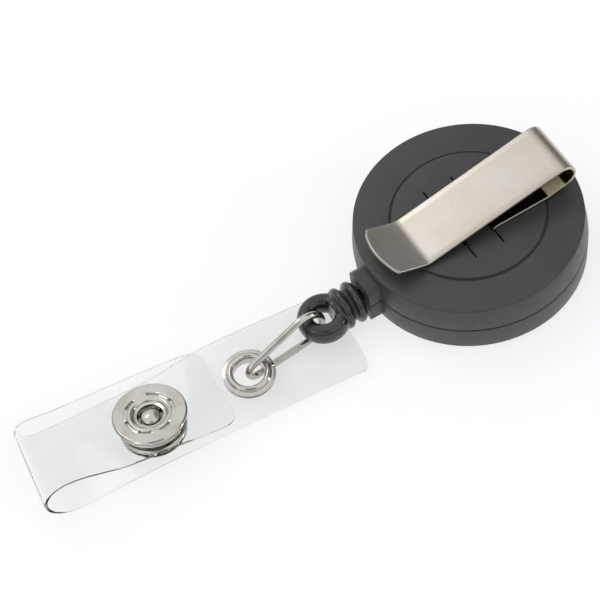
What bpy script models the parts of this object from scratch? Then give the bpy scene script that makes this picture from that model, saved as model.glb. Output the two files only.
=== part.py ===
"""Retractable badge reel with a belt clip and a clear snap strap.

Metres, +Z up.  Origin on the reel's axis at its flat front face, which lies down
on z = 0.  The belt clip is on top, and the cord leaves the case towards -X.
Every sub-part is one closed solid in its own named object.
"""
import math

import bmesh
import bpy
from mathutils import Matrix, Vector

MM = 0.001

# ------------------------------------------------------------ driving sizes, mm
CASE_R = 16.0          # case radius at the parting line
CASE_R_TOP = 15.6      # radius at the clip-side rim (draft)
CASE_R_BOTTOM = 15.8   # radius at the front face (draft)
CASE_WALL = 1.2
PARTING_Z = 4.2
PARTING_GAP = 0.2
RIM_Z = 8.15           # clip-side rim of the case
PLATEAU_Z = 8.55       # raised middle of the clip side
PLATEAU_R = 10.3
POST_R = 1.5           # centre post that holds the spool and the spring
POST_TOP = 6.1

SLOT_A_X = 1.4         # the clip strip dips through this slot
SLOT_B_X = -3.0        # and ends in this one
SLOT_LEN = 13.1
SLOT_W = 1.0

NOZZLE_W = 5.0         # cord outlet block
NOZZLE_X = -17.55
NOZZLE_LOW = 0.9
NOZZLE_HIGH = 7.1
CORD_Z = 3.4           # cord axis
CORD_D = 0.8

SPOOL_FLANGE_R = 14.3
SPOOL_LOW = 1.5
DRUM_OUT_R = 10.4
DRUM_IN_R = 9.4
WIND_R = 12.5          # outer radius of the wound cord

CLIP_W = 8.5           # belt clip strip
CLIP_T = 0.45
FOLD_X = 12.67         # centre of the clip's fold
FOLD_Z = 11.26
FOLD_R = 1.75          # mid-thickness radius of the fold
RAMP_X = 10.2          # where the base leaves the case and rises into the fold
RAMP = 12.9            # its rise, degrees
LEAF = 10.7            # the leaf's fall from the fold to the kink, degrees
KINK_X = -8.8
TIP_X = -14.5

EYE_X = -23.4          # eye hole of the cord-end fitting
EYE_HOLE_R = 1.65
EYE_OUT_R = 3.75
EYE_HALF_H = 1.6
RIB_R = 2.9

WIRE_D = 1.0           # steel link

STRAP_YAW = math.radians(5.0)
STRAP_W = 13.4
STRAP_T = 0.44
EYELET_X, EYELET_Y = -35.86, -0.95
EYELET_Z = 1.9         # mid-thickness of the strap at the eyelet
EYELET_R = 3.6
EYELET_HOLE_R = 2.1
TAIL_END = -14.9       # along the strap, measured from the eyelet
SNAP_U = 14.6          # snap axis along the strap, measured from the eyelet
SNAP_W = 0.8           # and across it
SHORT_END = 4.35
LONG_SNAP_Z = 0.9
SHORT_SNAP_Z = 3.3
SPLIT_LOW = 26.6       # where the long leaf meets the fold
SPLIT_HIGH = 26.6      # where the short leaf meets the fold


# ------------------------------------------------------------------- materials
def material(name, rgb, rough, metal=0.0, alpha=1.0):
    m = bpy.data.materials.new(name)
    m.use_nodes = True
    b = m.node_tree.nodes["Principled BSDF"]
    b.inputs["Base Color"].default_value = (*rgb, 1.0)
    b.inputs["Roughness"].default_value = rough
    b.inputs["Metallic"].default_value = metal
    b.inputs["Alpha"].default_value = alpha
    m.diffuse_color = (*rgb, alpha)
    return m


def clear_scene():
    for o in list(bpy.data.objects):
        bpy.data.objects.remove(o, do_unlink=True)


# ------------------------------------------------------------------ mesh tools
def new_object(name, bm, mat=None, frame=None):
    """Makes an object from a bmesh given in millimetres in a local frame."""
    mesh = bpy.data.meshes.new(name)
    if frame is not None:
        bmesh.ops.transform(bm, matrix=frame, verts=bm.verts)
    bmesh.ops.recalc_face_normals(bm, faces=bm.faces)
    bmesh.ops.scale(bm, vec=(MM, MM, MM), verts=bm.verts)
    bm.to_mesh(mesh)
    bm.free()
    mesh.shade_smooth()
    mesh.set_sharp_from_angle(angle=math.radians(32))
    o = bpy.data.objects.new(name, mesh)
    bpy.context.scene.collection.objects.link(o)
    if mat is not None:
        mesh.materials.append(mat)
    return o


def lathe(profile, segments):
    """Turns a closed (r, z) outline about Z.  Points with r = 0 lie on the axis."""
    bm = bmesh.new()
    rings = []
    for r, z in profile:
        if r < 1e-9:
            rings.append([bm.verts.new((0, 0, z))])
        else:
            rings.append([bm.verts.new((r * math.cos(2 * math.pi * k / segments),
                                        r * math.sin(2 * math.pi * k / segments), z))
                          for k in range(segments)])
    n = len(rings)
    for i in range(n):
        a, b = rings[i], rings[(i + 1) % n]
        if len(a) == 1 and len(b) == 1:
            continue
        for k in range(segments):
            j = (k + 1) % segments
            if len(a) == 1:
                bm.faces.new((a[0], b[k], b[j]))
            elif len(b) == 1:
                bm.faces.new((a[k], a[j], b[0]))
            else:
                bm.faces.new((a[k], a[j], b[j], b[k]))
    return bm


def prism(outline, low, high):
    """Extrudes a closed (x, y) outline from z = low to z = high."""
    bm = bmesh.new()
    a = [bm.verts.new((x, y, low)) for x, y in outline]
    b = [bm.verts.new((x, y, high)) for x, y in outline]
    n = len(outline)
    bm.faces.new(a[::-1])
    bm.faces.new(b)
    for i in range(n):
        j = (i + 1) % n
        bm.faces.new((a[i], a[j], b[j], b[i]))
    return bm


def tube(path, radius, sides, closed=False, up=Vector((0, 0, 1))):
    """Sweeps a circle along a path of points."""
    bm = bmesh.new()
    pts = [Vector(p) for p in path]
    n = len(pts)
    rings = []
    for i, p in enumerate(pts):
        if closed:
            t = (pts[(i + 1) % n] - pts[i - 1]).normalized()
        else:
            t = (pts[min(i + 1, n - 1)] - pts[max(i - 1, 0)]).normalized()
        side = t.cross(up)
        if side.length < 1e-6:
            side = t.cross(Vector((0, 1, 0)))
        side.normalize()
        top = side.cross(t).normalized()
        rings.append([bm.verts.new(p + radius * (math.cos(a) * side + math.sin(a) * top))
                      for a in (2 * math.pi * k / sides for k in range(sides))])
    last = n if closed else n - 1
    for i in range(last):
        a, b = rings[i], rings[(i + 1) % n]
        for k in range(sides):
            j = (k + 1) % sides
            bm.faces.new((a[k], a[j], b[j], b[k]))
    if not closed:
        bm.faces.new(rings[0][::-1])
        bm.faces.new(rings[-1])
    return bm


def ribbon(points, thickness):
    """Closed outline of a strip that follows a line of (u, v) points."""
    left, right = [], []
    n = len(points)
    for i, (u, v) in enumerate(points):
        u0, v0 = points[max(i - 1, 0)]
        u1, v1 = points[min(i + 1, n - 1)]
        du, dv = u1 - u0, v1 - v0
        s = math.hypot(du, dv)
        nu, nv = -dv / s, du / s
        left.append((u + nu * thickness / 2, v + nv * thickness / 2))
        right.append((u - nu * thickness / 2, v - nv * thickness / 2))
    return left + right[::-1]


def boolean(target, cutter, operation):
    m = target.modifiers.new("cut", "BOOLEAN")
    m.operation = operation
    m.solver = "EXACT"
    m.object = cutter
    cutter.hide_render = True
    cutter.display_type = "WIRE"
    return m


def cutter(name, bm, frame=None):
    o = new_object(name, bm, None, frame)
    o.hide_render = True
    o.display_type = "WIRE"
    return o


def rounded_rect(x0, x1, y0, y1, radius, steps=5):
    out = []
    for cx, cy, a0 in ((x1 - radius, y1 - radius, 0), (x0 + radius, y1 - radius, 90),
                       (x0 + radius, y0 + radius, 180), (x1 - radius, y0 + radius, 270)):
        for k in range(steps + 1):
            a = math.radians(a0 + 90 * k / steps)
            out.append((cx + radius * math.cos(a), cy + radius * math.sin(a)))
    return out


def circle(cx, cy, radius, steps):
    return [(cx + radius * math.cos(2 * math.pi * k / steps),
             cy + radius * math.sin(2 * math.pi * k / steps)) for k in range(steps)]


def smooth(t):
    t = min(max(t, 0.0), 1.0)
    return t * t * (3 - 2 * t)


# ---------------------------------------------------------------------- frames
def strap_frame():
    """Strap frame: +x along the strap from the eyelet to the fold, +y across it, +z up.
    It is a left-to-right mapping of (u, w, z) into the object's frame."""
    c, s = math.cos(STRAP_YAW), math.sin(STRAP_YAW)
    # u runs towards -X; w = z cross u keeps the frame right-handed
    m = Matrix(((-c, -s, 0, EYELET_X), (s, -c, 0, EYELET_Y), (0, 0, 1, 0), (0, 0, 0, 1)))
    return m


# across the strip (profile in u and z, extruded along the third axis)
ACROSS = Matrix(((1, 0, 0, 0), (0, 0, 1, 0), (0, 1, 0, 0), (0, 0, 0, 1)))


def long_leaf_z(u):
    """Mid-thickness height of the long leaf along the strap."""
    if u < -3.7:
        return EYELET_Z - (EYELET_Z - 0.26) * smooth((-3.7 - u) / 9.6)
    if u < 4.0:
        return EYELET_Z
    if u < 9.4:
        return EYELET_Z - (EYELET_Z - LONG_SNAP_Z) * smooth((u - 4.0) / 5.4)
    if u < 19.6:
        return LONG_SNAP_Z
    return LONG_SNAP_Z - (LONG_SNAP_Z - 0.45) * smooth((u - 19.6) / 7.0)


def short_leaf_z(u):
    """Mid-thickness height of the short leaf along the strap."""
    if u < 9.2:
        return SHORT_SNAP_Z - 0.25 * smooth((9.2 - u) / 4.8)
    if u < 19.6:
        return SHORT_SNAP_Z
    return SHORT_SNAP_Z + 3.0 * smooth((u - 19.6) / 7.9)


def fold_points():
    """Mid-thickness line of the fold, from the long leaf round to the short one."""
    z0 = long_leaf_z(SPLIT_LOW)
    z1 = short_leaf_z(SPLIT_HIGH)
    s1 = (short_leaf_z(SPLIT_HIGH + 0.05) - short_leaf_z(SPLIT_HIGH - 0.05)) / 0.1
    start, end = Vector((SPLIT_LOW, z0)), Vector((SPLIT_HIGH, z1))
    tip = Vector((32.0, 3.25))
    pts = []

    def bez(p0, p1, p2, p3, n, first):
        for k in range(first, n + 1):
            t = k / n
            q = ((1 - t) ** 3) * p0 + 3 * t * (1 - t) ** 2 * p1 + 3 * t * t * (1 - t) * p2 + t ** 3 * p3
            pts.append((q.x, q.y))

    bez(start, start + Vector((3.6, 0.0)), tip - Vector((0, 2.3)), tip, 9, 0)
    out = Vector((1, s1)).normalized()
    bez(tip, tip + Vector((0, 1.9)), end + out * 3.0, end, 9, 1)
    return pts


def strip_solid(name, points, width, mat, frame):
    bm = prism(ribbon(points, STRAP_T), -width / 2, width / 2)
    return new_object(name, bm, mat, frame @ ACROSS)


# ----------------------------------------------------------------------- build
def build():
    clear_scene()
    charcoal = material("charcoal_plastic", (0.068, 0.068, 0.072), 0.42)
    spool_mat = material("spool_plastic", (0.62, 0.62, 0.60), 0.45)
    black = material("gloss_black_plastic", (0.012, 0.012, 0.012), 0.18)
    nickel = material("satin_nickel", (0.66, 0.62, 0.57), 0.32, 1.0)
    bright = material("polished_nickel", (0.72, 0.70, 0.66), 0.14, 1.0)
    steel = material("spring_steel", (0.42, 0.43, 0.45), 0.35, 1.0)
    cord = material("black_cord", (0.02, 0.02, 0.022), 0.75)
    vinyl = material("clear_vinyl", (0.80, 0.82, 0.82), 0.15, 0.0, 0.35)

    # ---- front shell: a shallow cup with the centre post and half the nozzle
    low = PARTING_Z - PARTING_GAP / 2
    outline = [(0, 0), (CASE_R_BOTTOM - 0.35, 0), (CASE_R_BOTTOM, 0.35), (CASE_R, low - 0.1),
               (CASE_R - 0.1, low), (CASE_R - CASE_WALL, low), (CASE_R - CASE_WALL - 0.1, CASE_WALL),
               (2.6, CASE_WALL), (2.6, CASE_WALL + 0.15), (POST_R, CASE_WALL + 0.15),
               (POST_R, POST_TOP - 0.3), (POST_R - 0.3, POST_TOP), (0, POST_TOP)]
    front = new_object("front_shell", lathe(outline, 56), charcoal)
    half = NOZZLE_W / 2
    block = [(-half + 0.4, NOZZLE_LOW), (half - 0.4, NOZZLE_LOW), (half, NOZZLE_LOW + 0.4), (half, low),
             (-half, low), (-half, NOZZLE_LOW + 0.4)]
    # (y, z) outline run along X
    along_x = Matrix(((0, 0, 1, 0), (1, 0, 0, 0), (0, 1, 0, 0), (0, 0, 0, 1)))
    boolean(front, cutter("front_nozzle", prism(block, NOZZLE_X, -15.1), along_x), "UNION")
    passage = rounded_rect(-0.8, 0.8, CORD_Z - 0.8, 5.2, 0.7, 4)
    boolean(front, cutter("cord_passage", prism(passage, -19.0, -14.0), along_x), "DIFFERENCE")
    # the passage flares on the inside, towards the side the cord comes from
    flare = [(-16.4, -0.7), (-14.0, -0.7), (-14.0, 2.4), (-16.4, 0.7)]
    boolean(front, cutter("passage_flare", prism(flare, CORD_Z - 0.7, 5.1)), "DIFFERENCE")
    slit = [(-2.5, -0.3), (2.5, -0.3), (2.5, 0.3), (-2.5, 0.3)]
    boolean(front, cutter("post_slit", prism(slit, 2.6, 7.0)), "DIFFERENCE")

    # ---- rear shell: a cup turned over, with the raised middle and the two slots
    high = PARTING_Z + PARTING_GAP / 2
    inner = RIM_Z - CASE_WALL
    outline = [(0, inner + 0.2), (PLATEAU_R - 0.6, inner + 0.2), (PLATEAU_R - 0.3, inner),
               (CASE_R_TOP - CASE_WALL, inner), (CASE_R - CASE_WALL, high),
               (CASE_R - 0.1, high), (CASE_R, high + 0.1), (CASE_R_TOP + 0.02, RIM_Z - 0.35),
               (CASE_R_TOP - 0.33, RIM_Z), (PLATEAU_R + 0.25, RIM_Z + 0.12), (PLATEAU_R - 0.15, PLATEAU_Z),
               (0, PLATEAU_Z)]
    rear = new_object("rear_shell", lathe(outline, 56), charcoal)
    top_block = [(-half, high), (half, high), (half, NOZZLE_HIGH - 0.9), (half - 0.9, NOZZLE_HIGH),
                 (-half + 0.9, NOZZLE_HIGH), (-half, NOZZLE_HIGH - 0.9)]
    boolean(rear, cutter("rear_nozzle", prism(top_block, NOZZLE_X, -15.1), along_x), "UNION")
    boolean(rear, cutter("cord_passage_top", prism(passage, -19.0, -14.0), along_x), "DIFFERENCE")
    boolean(rear, cutter("passage_flare_top", prism(flare, CORD_Z - 0.7, 5.1)), "DIFFERENCE")
    for tag, x in (("a", SLOT_A_X), ("b", SLOT_B_X)):
        s = rounded_rect(x - SLOT_W / 2, x + SLOT_W / 2, -SLOT_LEN / 2, SLOT_LEN / 2, 0.4, 3)
        boolean(rear, cutter("clip_slot_" + tag, prism(s, 6.0, 9.5)), "DIFFERENCE")

    # ---- spool: lower flange, drum wall and upper flange in one turned piece
    z0 = SPOOL_LOW
    outline = [(POST_R + 0.3, z0), (SPOOL_FLANGE_R, z0), (SPOOL_FLANGE_R, z0 + 0.6), (DRUM_OUT_R, z0 + 0.6),
               (DRUM_OUT_R, 5.4), (SPOOL_FLANGE_R, 5.4), (SPOOL_FLANGE_R, 6.0), (DRUM_IN_R, 6.0),
               (DRUM_IN_R, 5.35), (DRUM_IN_R - 0.4, 5.2), (DRUM_IN_R - 0.4, z0 + 0.6), (POST_R + 0.3, z0 + 0.6)]
    new_object("spool", lathe(outline, 40), spool_mat)
    outline = [(POST_R + 0.35, 5.5), (DRUM_IN_R - 0.25, 5.5), (DRUM_IN_R - 0.25, 5.95), (POST_R + 0.35, 5.95)]
    new_object("spring_cover", lathe(outline, 36), spool_mat)

    # ---- power spring: a flat spiral of thin steel strip
    turns, r_in, r_out, strip = 5.0, 2.3, 8.55, 0.18
    steps = int(turns * 20)
    line = []
    for k in range(steps + 1):
        t = k / steps
        a = 2 * math.pi * turns * t
        # open turns near the post, closer ones against the drum
        r = r_in + (r_out - r_in) * (t ** 0.8)
        line.append((r * math.cos(a), r * math.sin(a)))
    new_object("power_spring", prism(ribbon(line, strip), 2.45, 5.15), steel)

    # ---- cord: wound turns on the drum, and the run out to the nozzle
    outline = []
    for k in range(8):
        a = 2 * math.pi * (k + 0.5) / 8
        outline.append((11.55 + 0.95 * math.cos(a), 3.75 + 1.35 * math.sin(a)))
    new_object("cord_winding", lathe(outline, 36), cord)
    r_tan = WIND_R + CORD_D / 2 + 0.15
    ang = math.acos(r_tan / 14.9)
    start = Vector((-r_tan * math.cos(ang), r_tan * math.sin(ang), CORD_Z))
    route = [start + (Vector((-14.75, 0.55, CORD_Z)) - start) * (k / 4) for k in range(5)]
    route += [Vector((-14.95, 0.25, CORD_Z)), Vector((-15.3, 0.06, CORD_Z)), Vector((-15.8, 0.0, CORD_Z)),
              Vector((-16.6, 0.0, CORD_Z)), Vector((-17.45, 0.0, CORD_Z))]
    new_object("cord_run", tube(route, CORD_D / 2, 8), cord)
    tip_route = [Vector((-17.75 - 0.28 * k, 0, CORD_Z)) for k in range(4)]
    new_object("cord_tip", tube(tip_route, CORD_D / 2, 8), cord)
    outline = [(0, -0.95), (0.62, -0.82), (0.98, -0.35), (1.02, 0.1), (0.82, 0.62), (0.4, 0.9), (0, 0.95)]
    turn_x = Matrix(((0, 0, 1, -19.95), (0, 1, 0, 0), (-1, 0, 0, CORD_Z), (0, 0, 0, 1)))
    new_object("cord_knot", lathe(outline, 16), cord, turn_x)

    # ---- cord-end fitting: ribbed barrel and eye ring in one moulding
    axis = Matrix(((0, 0, -1, -17.9), (0, 1, 0, 0), (1, 0, 0, CORD_Z), (0, 0, 0, 1)))
    prof = [(0, 0), (2.0, 0), (2.55, 0.12)]
    for c in (0.72, 2.62):
        for k in range(5):
            a = math.radians(25 + 130 * k / 4)
            prof.append((2.28 + (RIB_R - 2.28) * math.sin(a), c - 0.62 * math.cos(a)))
        prof.append((2.25, c + 0.95) if c < 1 else (2.2, c + 0.85))
    prof += [(2.15, 4.2), (0, 4.2)]
    barrel = new_object("cord_end_eye", lathe(prof, 28), black, axis)
    ring = []
    mid, wall = (EYE_OUT_R + EYE_HOLE_R) / 2, (EYE_OUT_R - EYE_HOLE_R) / 2
    for k in range(12):
        a = 2 * math.pi * k / 12
        ca, sa = math.cos(a), math.sin(a)
        # rounded section, flatter than a circle
        ring.append((mid + wall * math.copysign(abs(ca) ** 0.75, ca),
                     CORD_Z + EYE_HALF_H * math.copysign(abs(sa) ** 0.75, sa)))
    boolean(barrel, cutter("eye_ring", lathe(ring, 32), Matrix.Translation((EYE_X, 0, 0))), "UNION")
    boolean(barrel, cutter("eye_hole", lathe([(0, 0), (EYE_HOLE_R, 0), (EYE_HOLE_R, 8), (0, 8)], 32),
                           Matrix.Translation((EYE_X, 0, 0))), "DIFFERENCE")
    boolean(barrel, cutter("knot_room", lathe([(0, -1), (0.65, -1), (0.65, 0.8), (1.4, 1.05), (1.4, 2.9),
                                               (0.9, 3.15), (0, 3.15)], 24), axis), "DIFFERENCE")

    # ---- belt clip.  Base: tail in slot b, under the bridge, up through slot a,
    # along the face and round the fold.  Leaf: back over the case to the tip.
    face = PLATEAU_Z + 0.12 + CLIP_T / 2
    under = inner + 0.2 - 0.14 - CLIP_T / 2
    base = [(SLOT_B_X - 0.02, 8.35), (SLOT_B_X - 0.02, 7.3), (SLOT_B_X + 0.1, under + 0.15), (SLOT_B_X + 0.42, under),
            (SLOT_A_X - 0.42, under), (SLOT_A_X - 0.12, under + 0.12), (SLOT_A_X - 0.02, under + 0.5),
            (SLOT_A_X - 0.02, 8.3), (SLOT_A_X + 0.1, face - 0.2), (SLOT_A_X + 0.45, face)]
    base += [(4.8, face), (7.6, face), (RAMP_X - 0.3, face), (RAMP_X + 0.3, face + 0.3 * math.tan(math.radians(RAMP)))]
    for k in range(11):
        a = math.radians(-90 + RAMP + (160 - RAMP) * k / 10)
        base.append((FOLD_X + FOLD_R * math.cos(a), FOLD_Z + FOLD_R * math.sin(a)))
    clip_base = new_object("clip_base", prism(ribbon(base, CLIP_T), -CLIP_W / 2, CLIP_W / 2), nickel, ACROSS)
    kink_z = PLATEAU_Z + 0.2 + CLIP_T / 2
    leaf = []
    for k in range(3):
        a = math.radians(84 + (6 + LEAF) * k / 2)
        leaf.append((FOLD_X + FOLD_R * math.cos(a), FOLD_Z + FOLD_R * math.sin(a)))
    s0, s1 = Vector(leaf[-1]), Vector((KINK_X + 0.6, kink_z + 0.11))
    for k in range(1, 7):
        q = s0.lerp(s1, k / 6)
        leaf.append((q.x, q.y))
    leaf.append((KINK_X, kink_z))
    for k in range(1, 6):
        t = k / 5
        leaf.append((KINK_X + (TIP_X - KINK_X) * t, kink_z + 2.3 * t ** 1.15))
    clip_leaf = new_object("clip_leaf", prism(ribbon(leaf, CLIP_T), -CLIP_W / 2, CLIP_W / 2), nickel, ACROSS)
    end = [(14.2, -CLIP_W / 2 - 1), (14.2, CLIP_W / 2 + 1), (TIP_X + 2.0, CLIP_W / 2 + 1), (TIP_X + 2.0, CLIP_W / 2)]
    for k in range(9):
        a = math.radians(90 + 180 * k / 8)
        end.append((TIP_X + 0.9 + 1.0 * math.cos(a) * 1.0, CLIP_W / 2 * math.sin(a)))
    end += [(TIP_X + 2.0, -CLIP_W / 2), (TIP_X + 2.0, -CLIP_W / 2 - 1)]
    boolean(clip_leaf, cutter("clip_tip_shape", prism(end, 7.0, 15.0)), "INTERSECT")

    # ---- steel link: a closed loop of wire through the eye and the eyelet
    a = Vector((EYE_X, 0.0))
    b = Vector((EYELET_X, EYELET_Y))
    d = (b - a).normalized()
    loop = []
    r_ring, r_end = 2.85, 1.42
    c_ring, c_end = Vector((3.15, 3.42)), Vector((11.1, 2.04))
    # arcs at both ends, straight legs between; u along the link, z up
    tilt_top = math.asin((c_ring.y + r_ring - (c_end.y + r_end)) / (c_end.x - c_ring.x) * 0.98)
    for k in range(15):
        t = math.radians(90) - tilt_top + (math.radians(180) + tilt_top) * k / 14
        loop.append((c_ring.x + r_ring * math.cos(t), c_ring.y + r_ring * math.sin(t)))
    for k in range(1, 5):
        p, q = Vector((c_ring.x, c_ring.y - r_ring)), Vector((c_end.x, c_end.y - r_end))
        m = p.lerp(q, k / 5)
        loop.append((m.x, m.y))
    for k in range(11):
        t = math.radians(-90) + (math.radians(180) - tilt_top) * k / 10
        loop.append((c_end.x + r_end * math.cos(t), c_end.y + r_end * math.sin(t)))
    for k in range(1, 5):
        p = Vector((c_end.x + r_end * math.sin(tilt_top), c_end.y + r_end * math.cos(tilt_top)))
        q = Vector((c_ring.x + r_ring * math.sin(tilt_top), c_ring.y + r_ring * math.cos(tilt_top)))
        m = p.lerp(q, k / 5)
        loop.append((m.x, m.y))
    path = [Vector((a.x + d.x * u, a.y + d.y * u, z)) for u, z in loop]
    new_object("wire_link", tube(path, WIRE_D / 2, 10, closed=True, up=Vector((-d.y, d.x, 0))), bright)

    # ---- clear strap: long leaf, fold and short leaf
    sf = strap_frame()
    us = [TAIL_END + k * 0.9 for k in range(0, 13)] + [-3.7, 0.0, 4.0, 5.2, 6.2, 7.2, 8.2, 9.4, 14.45, 19.6, 21.4, 23.1,
                                                      24.8, SPLIT_LOW - 0.15]
    us = sorted(set(round(u, 3) for u in us))
    long_leaf = strip_solid("strap_long_leaf", [(u, long_leaf_z(u)) for u in us], STRAP_W, vinyl, sf)
    shape = rounded_rect(TAIL_END, 60, -STRAP_W / 2, STRAP_W / 2, 1.6, 5)
    boolean(long_leaf, cutter("tail_corners", prism(shape, -2, 9), sf), "INTERSECT")
    boolean(long_leaf, cutter("eyelet_hole_cut", prism(circle(0, 0, EYELET_HOLE_R + 0.55, 24), -2, 9), sf), "DIFFERENCE")
    boolean(long_leaf, cutter("stud_hole_cut", prism(circle(SNAP_U, SNAP_W, 1.9, 20), -2, 9), sf), "DIFFERENCE")
    # open notch in the tail for the lower leg of the link: the rigid solid's stand-in for
    # the soft tail, which bends aside as the strap swings
    link_dir = Vector((-d.x, -d.y))
    c, s = math.cos(STRAP_YAW), math.sin(STRAP_YAW)
    slope = math.atan2(-(link_dir.x * -s + link_dir.y * -c), -(link_dir.x * -c + link_dir.y * s))
    notch = Matrix.Rotation(slope, 4, "Z")
    slot = [(-20, -0.95), (-4.5, -0.95)] + [(-4.5 + 0.95 * math.cos(t), 0.95 * math.sin(t)) for t in
                                           (math.radians(-72 + 18 * k) for k in range(9))] + [(-4.5, 0.95), (-20, 0.95)]
    boolean(long_leaf, cutter("tail_notch", prism(slot, -2, 9), sf @ notch), "DIFFERENCE")

    strip_solid("strap_fold", fold_points(), STRAP_W, vinyl, sf)

    us = [SHORT_END, 5.6, 6.8, 8.0, 9.2, 14.45, 19.7, 21.1, 22.5, 23.9, 25.3, SPLIT_HIGH - 0.15]
    short_leaf = strip_solid("strap_short_leaf", [(u, short_leaf_z(u)) for u in us], STRAP_W, vinyl, sf)
    shape = rounded_rect(SHORT_END, 60, -STRAP_W / 2, STRAP_W / 2, 2.6, 6)
    boolean(short_leaf, cutter("short_corners", prism(shape, -2, 9), sf), "INTERSECT")
    boolean(short_leaf, cutter("socket_hole_cut", prism(circle(SNAP_U, SNAP_W, 2.75, 24), -2, 9), sf), "DIFFERENCE")

    # ---- eyelet and its washer, rolled around the strap's hole
    top, bot = EYELET_Z + STRAP_T / 2 + 0.15, EYELET_Z - STRAP_T / 2 - 0.15
    r = EYELET_HOLE_R
    prof = [(r, bot - 0.42), (r + 0.35, bot - 0.42), (r + 0.35, top), (EYELET_R - 0.15, top),
            (EYELET_R, top + 0.12), (EYELET_R - 0.15, top + 0.32), (r + 0.75, top + 0.6), (r + 0.3, top + 0.55),
            (r, top + 0.2)]
    new_object("eyelet", lathe(prof, 28), bright, sf)
    prof = [(r + 0.47, bot - 0.38), (EYELET_R - 0.15, bot - 0.38), (EYELET_R - 0.05, bot - 0.2), (EYELET_R - 0.2, bot),
            (r + 0.47, bot)]
    new_object("eyelet_washer", lathe(prof, 28), bright, sf)

    # ---- snap.  Lower half on the long leaf: post ring below, stud above.
    snap = sf @ Matrix.Translation((SNAP_U, SNAP_W, 0))
    top, bot = LONG_SNAP_Z + STRAP_T / 2 + 0.15, LONG_SNAP_Z - STRAP_T / 2 - 0.15
    prof = [(0, bot - 0.43), (4.3, bot - 0.43), (4.55, bot - 0.22), (4.4, bot), (1.65, bot), (1.65, top - 0.1),
            (1.1, top - 0.1), (1.1, bot), (0, bot)]
    new_object("snap_stud_post", lathe(prof, 28), bright, snap)
    prof = [(0, top), (4.35, top), (4.6, top + 0.18), (4.45, top + 0.42), (2.2, top + 0.46), (1.25, top + 0.75),
            (0.98, top + 1.15), (1.3, top + 1.55), (1.38, top + 1.85), (1.2, top + 2.25), (0.7, top + 2.5),
            (0, top + 2.56)]
    new_object("snap_stud", lathe(prof, 28), bright, snap)
    # Upper half on the short leaf: post ring below, socket above.
    top, bot = SHORT_SNAP_Z + STRAP_T / 2 + 0.15, SHORT_SNAP_Z - STRAP_T / 2 - 0.15
    prof = [(1.85, bot - 0.4), (4.35, bot - 0.4), (4.6, bot - 0.2), (4.45, bot), (2.4, bot), (2.4, top - 0.1),
            (1.85, top - 0.1)]
    new_object("snap_socket_post", lathe(prof, 28), bright, snap)
    prof = [(1.75, top), (4.7, top), (5.08, top + 0.25), (5.08, top + 0.6), (4.85, top + 0.86), (3.5, top + 0.86),
            (3.3, top + 0.72), (2.35, top + 0.72), (2.2, top + 0.5), (1.75, top + 0.2)]
    new_object("snap_socket", lathe(prof, 32), bright, snap)

    # ---- empties that mark the joint axes, with the moving pieces parented to them
    bpy.context.view_layer.update()
    w = Vector((math.sin(STRAP_YAW), math.cos(STRAP_YAW), 0))
    u = Vector((-math.cos(STRAP_YAW), math.sin(STRAP_YAW), 0))
    eyelet = Vector((EYELET_X, EYELET_Y, EYELET_Z))
    groups = {
        "axis_spool_spin": ((0, 0, 0), ("spool", "spring_cover", "power_spring", "cord_winding")),
        "axis_cord_pull": ((NOZZLE_X, 0, CORD_Z), ("cord_tip", "cord_knot")),
        "axis_end_swivel": ((-19.95, 0, CORD_Z), ("cord_end_eye",)),
        "axis_link_swing": ((EYE_X, 0, CORD_Z), ("wire_link",)),
        "axis_strap_swing": (eyelet - u * 2.85, ("strap_long_leaf", "strap_fold", "eyelet", "eyelet_washer", "snap_stud",
                                                 "snap_stud_post")),
        "axis_flap_open": (Vector((EYELET_X, EYELET_Y, 3.25)) + u * 28.6, ("strap_short_leaf", "snap_socket",
                                                                         "snap_socket_post")),
        "axis_clip_flex": ((FOLD_X, 0, FOLD_Z), ("clip_leaf",)),
    }
    for name, (where, members) in groups.items():
        e = bpy.data.objects.new(name, None)
        e.empty_display_size = 0.004
        e.location = Vector(where) * MM
        bpy.context.scene.collection.objects.link(e)
        bpy.context.view_layer.update()
        for m in members:
            o = bpy.data.objects[m]
            world = o.matrix_world.copy()
            o.parent = e
            o.matrix_parent_inverse = e.matrix_world.inverted()
            o.matrix_world = world


build()
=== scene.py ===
"""Looks for the retractable badge reel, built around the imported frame.

Sizes in the mesh code are millimetres in the row frame: z = 0 is the flat front
face on the table, the clip is on top, and the cord leaves the case towards -X.
"""
import math

import bmesh
import bpy
from mathutils import Matrix, Vector


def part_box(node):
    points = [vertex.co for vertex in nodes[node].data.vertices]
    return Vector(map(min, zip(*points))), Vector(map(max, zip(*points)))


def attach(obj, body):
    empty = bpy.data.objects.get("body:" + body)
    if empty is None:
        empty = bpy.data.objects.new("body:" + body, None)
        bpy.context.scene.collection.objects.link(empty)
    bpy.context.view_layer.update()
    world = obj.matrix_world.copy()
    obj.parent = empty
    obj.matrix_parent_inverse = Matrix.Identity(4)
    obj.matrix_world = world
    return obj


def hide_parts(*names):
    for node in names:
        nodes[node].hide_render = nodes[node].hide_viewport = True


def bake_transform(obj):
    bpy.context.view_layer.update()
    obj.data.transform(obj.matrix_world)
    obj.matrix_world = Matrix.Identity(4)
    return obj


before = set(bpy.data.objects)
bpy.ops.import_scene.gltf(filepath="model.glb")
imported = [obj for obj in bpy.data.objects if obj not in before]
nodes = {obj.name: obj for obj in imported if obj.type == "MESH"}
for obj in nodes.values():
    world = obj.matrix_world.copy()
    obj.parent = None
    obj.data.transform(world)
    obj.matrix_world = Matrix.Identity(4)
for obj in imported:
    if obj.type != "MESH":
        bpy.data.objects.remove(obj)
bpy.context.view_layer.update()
MM = 0.001

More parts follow.
